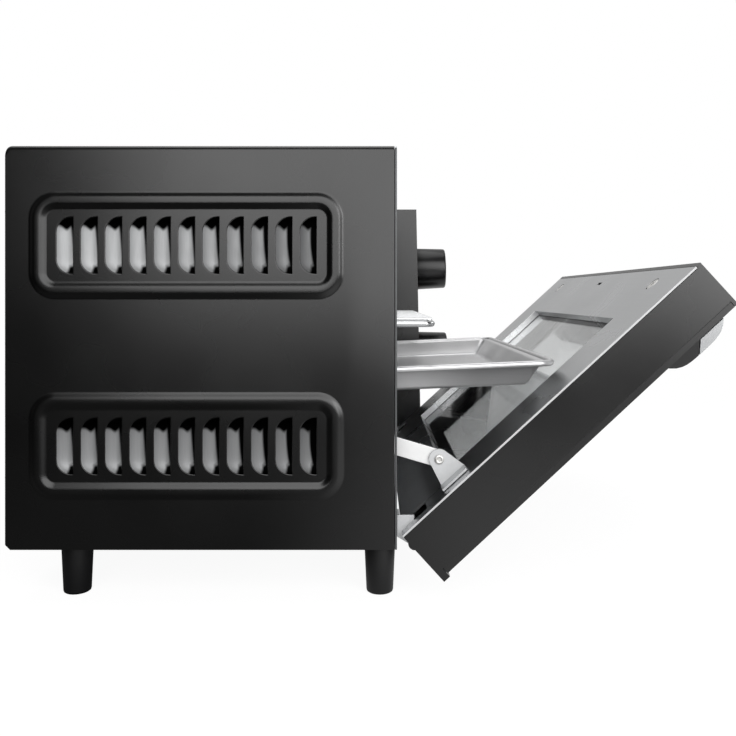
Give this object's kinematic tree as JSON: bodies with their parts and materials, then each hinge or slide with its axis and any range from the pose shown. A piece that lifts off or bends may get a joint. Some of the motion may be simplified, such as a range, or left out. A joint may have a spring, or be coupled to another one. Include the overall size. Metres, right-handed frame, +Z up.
{
  "type": "mini oven",
  "caption": "Countertop mini oven with louvred sides, a glazed drop-down door on an arm, a pull-out wire rack and baking tray, and a side panel with a timer and a thermostat knob.",
  "frame": {"origin": "middle of the underside of the box around the whole oven, on the plane that its feet stand on", "axes": "+X towards the front, where the door opens, +Y across the oven towards the control panel, +Z up"},
  "size_m": [0.3726, 0.3868, 0.2295],
  "materials": {
    "black_paint": "satin",
    "black_plastic": "satin",
    "rubber": "matte",
    "galvanised_steel": "galvanised",
    "satin_steel": "satin",
    "tube_steel": "oxidised",
    "chrome_wire": "polished",
    "tray_metal": "satin",
    "clear_glass": "clear",
    "dark_glass": "tinted",
    "lens": "translucent",
    "insulator": "matte"
  },
  "bodies": {
    "cabinet": {"outer_casing": "black_paint", "rear_cover": "black_paint", "control_panel": "black_paint", "foot_front_left": "black_plastic", "foot_front_right": "black_plastic", "foot_rear_left": "black_plastic", "foot_rear_right": "black_plastic", "cord_inlet": "rubber", "front_frame": "galvanised_steel", "base_plate": "galvanised_steel", "cavity_left_wall": "galvanised_steel", "cavity_right_wall": "galvanised_steel", "cavity_floor": "galvanised_steel", "cavity_roof": "galvanised_steel", "cavity_back": "galvanised_steel", "crumb_tray": "galvanised_steel", "heat_shield": "galvanised_steel", "rear_screw_upper_left": "satin_steel", "rear_screw_lower_left": "satin_steel", "rear_screw_upper_right": "satin_steel", "rear_screw_lower_right": "satin_steel", "hinge_bracket_left": "satin_steel", "hinge_bracket_right": "satin_steel", "heating_tube_upper_front": "tube_steel", "heating_tube_upper_rear": "tube_steel", "heating_tube_lower_front": "tube_steel", "heating_tube_lower_rear": "tube_steel", "pilot_lens": "lens", "timer_body": "insulator", "thermostat_body": "insulator", "terminal_block": "insulator"},
    "door": {"door_shell": "black_paint", "door_liner": "satin_steel", "door_inner_glass": "clear_glass", "door_front_glass": "dark_glass", "handle_grip": "black_plastic", "handle_trim": "satin_steel", "handle_screw_left": "satin_steel", "handle_screw_right": "satin_steel", "hinge_pin_left": "satin_steel", "hinge_pin_right": "satin_steel", "arm_bracket": "satin_steel", "arm_rivet": "satin_steel"},
    "arm": {"door_arm": "satin_steel"},
    "rack": {"wire_rack": "chrome_wire"},
    "tray": {"baking_tray": "tray_metal"},
    "timer": {"timer_shaft": "satin_steel", "timer_knob": "black_plastic"},
    "thermostat": {"thermostat_shaft": "satin_steel", "thermostat_knob": "black_plastic"}
  },
  "joints": [
    {"name": "door_hinge", "type": "hinge", "parent": "cabinet", "child": "door", "pos_m": [0.0208, -0.0475, 0.02905], "axis": [0, 1, 0], "range_deg": [-47.5, 32.5]},
    {"name": "arm_pivot", "type": "hinge", "parent": "door", "child": "arm", "pos_m": [0.03428, -0.17185, 0.06873], "axis": [0, 1, 0], "range_deg": [-33, 48]},
    {"name": "rack_slide", "type": "slide", "parent": "cabinet", "child": "rack", "axis": [1, 0, 0], "range_m": [-0.0235, 0.0162]},
    {"name": "tray_slide", "type": "slide", "parent": "cabinet", "child": "tray", "axis": [0.9991, 0, 0.0419], "range_m": [-0.1035, 0.0709]},
    {"name": "timer_turn", "type": "hinge", "parent": "cabinet", "child": "timer", "pos_m": [0.03775, 0.1444, 0.179], "axis": [0.9998, 0, 0.0199], "range_deg": [-300, 0]},
    {"name": "thermostat_turn", "type": "hinge", "parent": "cabinet", "child": "thermostat", "pos_m": [0.03929, 0.1444, 0.1017], "axis": [0.9998, 0, 0.0199], "range_deg": [-270, 0]}
  ],
  "couplings": [
    {"joint": "arm_pivot", "follows": "door_hinge", "ratio": -1},
    {"joint": "rack_slide", "follows": "door_hinge", "m_per_rad": 0.0277},
    {"joint": "tray_slide", "follows": "door_hinge", "m_per_rad": 0.1245}
  ]
}
